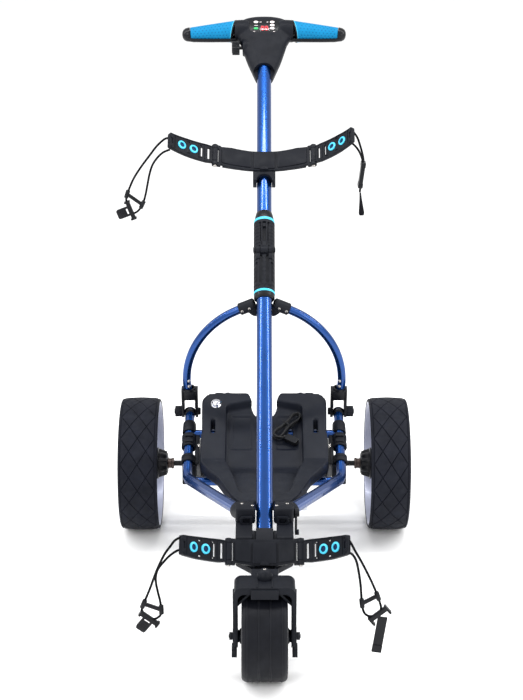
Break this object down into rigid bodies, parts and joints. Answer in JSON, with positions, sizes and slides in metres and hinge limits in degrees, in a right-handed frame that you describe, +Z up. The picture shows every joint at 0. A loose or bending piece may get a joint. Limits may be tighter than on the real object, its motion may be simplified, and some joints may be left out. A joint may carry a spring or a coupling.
{
  "type": "electric golf trolley",
  "caption": "Folding electric golf trolley with a T-handle, a slanted mast, strapped bag cradles, a battery tray, powered rear wheels and a front wheel in a fork.",
  "frame": {"origin": "on the ground below the middle of the trolley's box, its free cords left out", "axes": "+Y towards the handle and the person pushing, -Y towards the front wheel, +X to the right seen from the front, +Z up"},
  "size_m": [0.644, 1.2528, 1.0947],
  "materials": {
    "blue_tube": "gloss blue anodised tube",
    "black_plastic": "satin moulded plastic",
    "steel": "plated steel",
    "button_white": "soft gloss button",
    "button_green": "soft gloss button",
    "grip": "dimpled soft grip",
    "motor_case": "dark painted motor case",
    "controller_case": "plain metal case",
    "rim": "silver-grey wheel rim",
    "tyre": "soft foam-filled tyre",
    "lead": "rubber-sheathed lead",
    "elastic_cord": "braided elastic cord"
  },
  "bodies": {
    "chassis": {"frame_tube_left": "blue_tube", "frame_tube_right": "blue_tube", "cross_tube_rear": "blue_tube", "cross_tube_front": "blue_tube", "axle_bracket_left": "black_plastic", "axle_bracket_right": "black_plastic", "drive_unit": "motor_case", "front_bracket": "black_plastic", "front_fork": "black_plastic", "front_axle": "steel", "battery_tray": "black_plastic", "controller_box": "controller_case", "battery_lead_hank": "lead", "battery_lead_tail": "lead", "battery_plug": "black_plastic"},
    "support_arch": {"arch_tube_left": "blue_tube", "arch_tube_right": "blue_tube", "arch_clevis_left": "black_plastic", "arch_clevis_right": "black_plastic", "y_connector": "black_plastic"},
    "lower_mast": {"mast_lower_tube": "blue_tube", "fold_housing_lower": "black_plastic", "fold_pin": "steel", "lower_cradle_band": "black_plastic"},
    "upper_mast": {"mast_upper_tube": "blue_tube", "fold_housing_upper": "black_plastic", "upper_cradle_band": "black_plastic", "handle_shell": "black_plastic", "grip_left": "grip", "grip_right": "grip"},
    "fold_latch": {"fold_latch_lever": "black_plastic"},
    "foot_lock": {"foot_lock_lever": "steel"},
    "left_pivot_knob": {"pivot_knob_left": "black_plastic"},
    "right_pivot_knob": {"pivot_knob_right": "black_plastic"},
    "speed_dial": {"speed_knob": "black_plastic"},
    "upper_left_arm": {"upper_cradle_arm_left": "black_plastic", "upper_cord_left": "elastic_cord", "upper_hook_left": "black_plastic"},
    "upper_right_arm": {"upper_cradle_arm_right": "black_plastic", "upper_cord_right": "elastic_cord", "upper_hook_right": "black_plastic"},
    "lower_left_arm": {"lower_cradle_arm_left": "black_plastic", "lower_cord_left": "elastic_cord", "lower_hook_left": "black_plastic"},
    "lower_right_arm": {"lower_cradle_arm_right": "black_plastic", "lower_cord_right": "elastic_cord", "lower_hook_right": "black_plastic"},
    "left_rear_wheel": {"rear_rim_left": "rim", "rear_tyre_left": "tyre", "rear_hub_left": "black_plastic"},
    "right_rear_wheel": {"rear_rim_right": "rim", "rear_tyre_right": "tyre", "rear_hub_right": "black_plastic"},
    "front_wheel": {"front_tyre": "tyre", "front_hub": "black_plastic"},
    "stop_button": {"button_stop": "button_white"},
    "start_button": {"button_start": "button_green"},
    "faster_button": {"button_faster": "button_white"},
    "cruise_button": {"button_cruise": "button_white"},
    "slower_button": {"button_slower": "button_white"}
  },
  "joints": [
    {"name": "arch_fold", "type": "hinge", "parent": "chassis", "child": "support_arch", "pos_m": [0, 0.10055, 0.29], "axis": [1, 0, 0], "range_deg": [0, 60]},
    {"name": "mast_fold", "type": "hinge", "parent": "support_arch", "child": "lower_mast", "pos_m": [0, 0.04436, 0.54391], "axis": [1, 0, 0], "range_deg": [-95, 0]},
    {"name": "handle_fold", "type": "hinge", "parent": "lower_mast", "child": "upper_mast", "pos_m": [0, 0.1068, 0.66236], "axis": [1, 0, 0], "range_deg": [0, 140]},
    {"name": "latch_turn", "type": "hinge", "parent": "lower_mast", "child": "fold_latch", "pos_m": [0, 0.1039, 0.59735], "axis": [-1, 0, 0], "range_deg": [0, 70]},
    {"name": "foot_lock_turn", "type": "hinge", "parent": "chassis", "child": "foot_lock", "pos_m": [0.06, -0.33745, 0.25], "axis": [-1, 0, 0], "range_deg": [0, 75]},
    {"name": "left_knob_turn", "type": "hinge", "parent": "support_arch", "child": "left_pivot_knob", "pos_m": [-0.165, 0.10055, 0.29], "axis": [1, 0, 0], "range_deg": [0, 180]},
    {"name": "right_knob_turn", "type": "hinge", "parent": "support_arch", "child": "right_pivot_knob", "pos_m": [0.165, 0.10055, 0.29], "axis": [1, 0, 0], "range_deg": [0, 180]},
    {"name": "speed_turn", "type": "hinge", "parent": "upper_mast", "child": "speed_dial", "pos_m": [-0.066, 0.5481, 1.0221], "axis": [1, 0, 0], "range_deg": [0, 270]},
    {"name": "upper_left_arm_turn", "type": "hinge", "parent": "upper_mast", "child": "upper_left_arm", "pos_m": [-0.109, 0.26229, 0.83392], "axis": [0, -0.7524, -0.6587], "range_deg": [-40, 20]},
    {"name": "upper_right_arm_turn", "type": "hinge", "parent": "upper_mast", "child": "upper_right_arm", "pos_m": [0.109, 0.26229, 0.83392], "axis": [0, 0.7524, 0.6587], "range_deg": [-30, 30]},
    {"name": "lower_left_arm_turn", "type": "hinge", "parent": "lower_mast", "child": "lower_left_arm", "pos_m": [-0.07, -0.43937, 0.21528], "axis": [0, -0.6157, -0.788], "range_deg": [-35, 25]},
    {"name": "lower_right_arm_turn", "type": "hinge", "parent": "lower_mast", "child": "lower_right_arm", "pos_m": [0.07, -0.43937, 0.21528], "axis": [0, 0.6157, 0.788], "range_deg": [-35, 25]},
    {"name": "left_wheel_spin", "type": "hinge", "parent": "chassis", "child": "left_rear_wheel", "pos_m": [-0.2785, 0.13055, 0.15], "axis": [1, 0, 0], "continuous": true},
    {"name": "right_wheel_spin", "type": "hinge", "parent": "chassis", "child": "right_rear_wheel", "pos_m": [0.2785, 0.13055, 0.15], "axis": [1, 0, 0], "continuous": true},
    {"name": "front_wheel_spin", "type": "hinge", "parent": "chassis", "child": "front_wheel", "pos_m": [0, -0.53945, 0.087], "axis": [1, 0, 0], "continuous": true},
    {"name": "stop_press", "type": "slide", "parent": "upper_mast", "child": "stop_button", "axis": [0, 0.6587, -0.7524], "range_m": [0, 0.001], "stiffness_N_per_m": 250},
    {"name": "start_press", "type": "slide", "parent": "upper_mast", "child": "start_button", "axis": [0, 0.6587, -0.7524], "range_m": [0, 0.001], "stiffness_N_per_m": 250},
    {"name": "faster_press", "type": "slide", "parent": "upper_mast", "child": "faster_button", "axis": [0, 0.6587, -0.7524], "range_m": [0, 0.001], "stiffness_N_per_m": 250},
    {"name": "cruise_press", "type": "slide", "parent": "upper_mast", "child": "cruise_button", "axis": [0, 0.6587, -0.7524], "range_m": [0, 0.001], "stiffness_N_per_m": 250},
    {"name": "slower_press", "type": "slide", "parent": "upper_mast", "child": "slower_button", "axis": [0, 0.6587, -0.7524], "range_m": [0, 0.001], "stiffness_N_per_m": 250}
  ],
  "couplings": [
    {"joint": "mast_fold", "follows": "arch_fold", "ratio": -1.5667}
  ]
}
